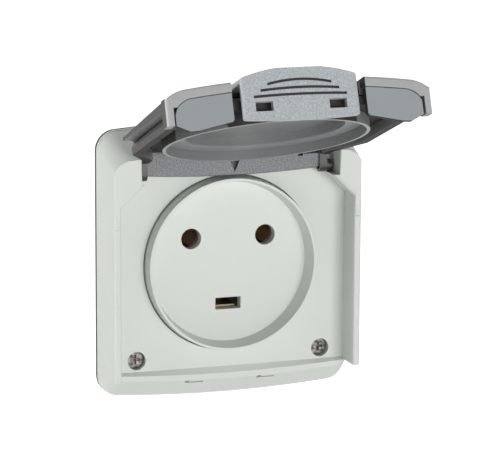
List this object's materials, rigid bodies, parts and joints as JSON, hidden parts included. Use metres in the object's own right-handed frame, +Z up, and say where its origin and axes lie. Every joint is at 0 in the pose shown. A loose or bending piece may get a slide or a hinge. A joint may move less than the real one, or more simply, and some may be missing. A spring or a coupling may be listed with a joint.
{
  "type": "outdoor weatherproof socket",
  "caption": "Flush outdoor socket: pale square housing with a round well for round pins and a flat earth pin, under a grey hinged lid with a sprung latch.",
  "frame": {"origin": "on the wall face, at the axis of the round socket well", "axes": "X to the right, Y into the wall, Z up; the user stands at -Y"},
  "size_m": [0.081, 0.0993, 0.112],
  "materials": {
    "pale_plastic": "satin moulded",
    "grey_plastic": "fine grained",
    "grey_inner": "satin moulded",
    "grey_seal": "matt",
    "dark_plastic": "matt moulded",
    "seal": "matt",
    "steel": "bright",
    "zinc_steel": "zinc plated",
    "brass": "plain"
  },
  "bodies": {
    "root": {"wall_gasket": "seal", "housing": "pale_plastic", "hinge_pins": "steel", "face_seal": "seal", "socket_face": "pale_plastic", "carrier": "zinc_steel", "cover_screws": "steel", "contact_block": "dark_plastic", "earth_contact": "brass", "terminal_screws": "steel", "back_cover": "dark_plastic", "block_screws": "steel", "live_contact": "brass", "neutral_contact": "brass", "live_terminal": "brass", "neutral_terminal": "brass", "earth_terminal": "brass"},
    "lid": {"lid_shell": "grey_plastic", "lid_liner": "grey_inner", "lid_seal": "grey_seal", "latch_pin": "steel"},
    "latch": {"latch": "grey_plastic"}
  },
  "joints": [
    {"name": "lid_hinge", "type": "hinge", "parent": "root", "child": "lid", "pos_m": [0, -0.0121, 0.0294], "axis": [1, 0, 0], "range_deg": [0, 110.4]},
    {"name": "latch_pivot", "type": "hinge", "parent": "lid", "child": "latch", "pos_m": [0, -0.06585, 0.06102], "axis": [-1, 0, 0], "range_deg": [0, 8], "stiffness_Nm_per_rad": 0.05, "springref_deg": -8.59}
  ]
}
